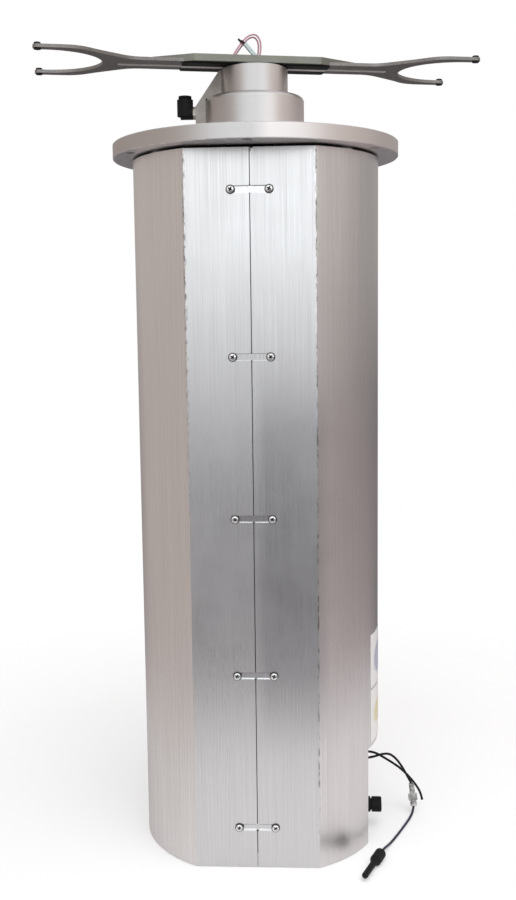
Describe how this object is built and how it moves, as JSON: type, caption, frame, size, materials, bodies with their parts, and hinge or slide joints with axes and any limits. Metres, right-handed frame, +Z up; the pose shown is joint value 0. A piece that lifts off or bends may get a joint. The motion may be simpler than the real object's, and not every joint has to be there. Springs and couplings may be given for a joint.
{
  "type": "wafer handling robot",
  "caption": "Column-lift wafer handling robot: round housing with a flat front under a wide mounting flange, stepped rotating head and a thin double-ended fork blade on top.",
  "frame": {"origin": "centre of the base plate's foot, on the axis of the column and the round housing", "axes": "+Z up along the column, -Y towards the flat front facet with the cover screws, +X to its right"},
  "size_m": [0.437, 0.28, 0.804],
  "materials": {
    "brushed_cover": "vertically brushed, clear anodised",
    "turned_aluminium": "fine turned",
    "plain_aluminium": "milled",
    "clear_anodised": "matt grey-green anodised",
    "blade_aluminium": "hard anodised, matt",
    "black_anodised": "matt black",
    "bright_screw": "bright nickel",
    "steel": "ground",
    "stud_metal": "dull nickel over brass",
    "black_plastic": "ribbed black moulding",
    "black_rubber": "matt",
    "black_lead": "lead insulation",
    "blue_black_lead": "lead insulation",
    "pink_lead": "lead insulation",
    "grey_nylon": "milky grey nylon",
    "pale_connector": "pale grey-green nylon",
    "blank_label": "plain white film",
    "white_nylon": "pale matt strip",
    "tip_plastic": "dark moulded stop",
    "blasted_aluminium": "bead blasted",
    "polished_strip": "bright drawn",
    "dark_motor": "satin black"
  },
  "bodies": {
    "frame": {"base_plate": "plain_aluminium", "front_post": "polished_strip", "rear_spine": "plain_aluminium", "side_posts": "plain_aluminium", "mounting_flange": "turned_aluminium", "column_seal": "black_rubber", "socket_screws": "steel", "cover_left": "brushed_cover", "cover_right": "brushed_cover", "cover_screws": "bright_screw", "label_blanks": "blank_label", "connector_panel": "plain_aluminium", "connector_shell": "black_plastic", "connector_ring": "black_plastic", "lead_grommet": "black_rubber", "lead_long": "black_lead", "lead_short": "black_lead", "lead_tail": "blue_black_lead", "lead_splice": "grey_nylon", "lead_plug": "black_plastic", "guide_rails": "steel", "z_motor": "dark_motor", "z_motor_bracket": "plain_aluminium", "z_belt": "black_rubber", "screw_block_lower": "plain_aluminium", "screw_block_upper": "plain_aluminium", "stop_bumper": "black_rubber", "home_sensor": "black_plastic"},
    "lift": {"carriage": "plain_aluminium", "rail_blocks": "steel", "ball_nut": "steel", "home_flag": "plain_aluminium", "column": "turned_aluminium", "column_screws": "steel", "theta_motor": "dark_motor", "head_base": "turned_aluminium", "head_cap": "turned_aluminium", "gusset": "blasted_aluminium", "fitting_stud": "stud_metal", "bearing_upper": "steel", "bearing_lower": "steel"},
    "spindle": {"theta_motor_shaft": "steel", "theta_coupling": "plain_aluminium", "spindle_shaft": "steel", "arm_plate": "black_anodised", "arm_block": "clear_anodised", "blade_right": "blade_aluminium", "blade_left": "blade_aluminium", "arm_screws": "bright_screw", "vacuum_strips": "white_nylon", "tip_pads": "tip_plastic", "loop_lead_outer": "pink_lead", "loop_lead_inner": "pink_lead", "loop_connector": "pale_connector", "loop_tie": "black_plastic"},
    "screw": {"ball_screw": "steel", "screw_pulley": "plain_aluminium"},
    "z_rotor": {"z_motor_pulley": "plain_aluminium"},
    "elbow": {"fitting_body": "black_plastic"},
    "collar": {"release_collar": "black_plastic"}
  },
  "joints": [
    {"name": "z_lift", "type": "slide", "parent": "frame", "child": "lift", "axis": [0, 0, 1], "range_m": [0, 0.25]},
    {"name": "theta_turn", "type": "hinge", "parent": "lift", "child": "spindle", "pos_m": [0, 0, 0.7], "axis": [0, 0, 1], "range_deg": [-170, 170]},
    {"name": "screw_turn", "type": "hinge", "parent": "frame", "child": "screw", "pos_m": [0, 0.075, 0.3], "axis": [0, 0, 1], "range_deg": [-9001, 0]},
    {"name": "z_motor_turn", "type": "hinge", "parent": "frame", "child": "z_rotor", "pos_m": [0, 0.01, 0.12], "axis": [0, 0, 1], "range_deg": [-9001, 0]},
    {"name": "elbow_swivel", "type": "hinge", "parent": "lift", "child": "elbow", "pos_m": [-0.0689, 0, 0.7295], "axis": [1, 0, 0], "continuous": true},
    {"name": "collar_press", "type": "slide", "parent": "elbow", "child": "collar", "axis": [0, 0, -1], "range_m": [0, 0.0012], "stiffness_N_per_m": 400}
  ],
  "couplings": [
    {"joint": "screw_turn", "follows": "z_lift", "rad_per_m": -628.32},
    {"joint": "z_motor_turn", "follows": "z_lift", "rad_per_m": -628.32}
  ]
}
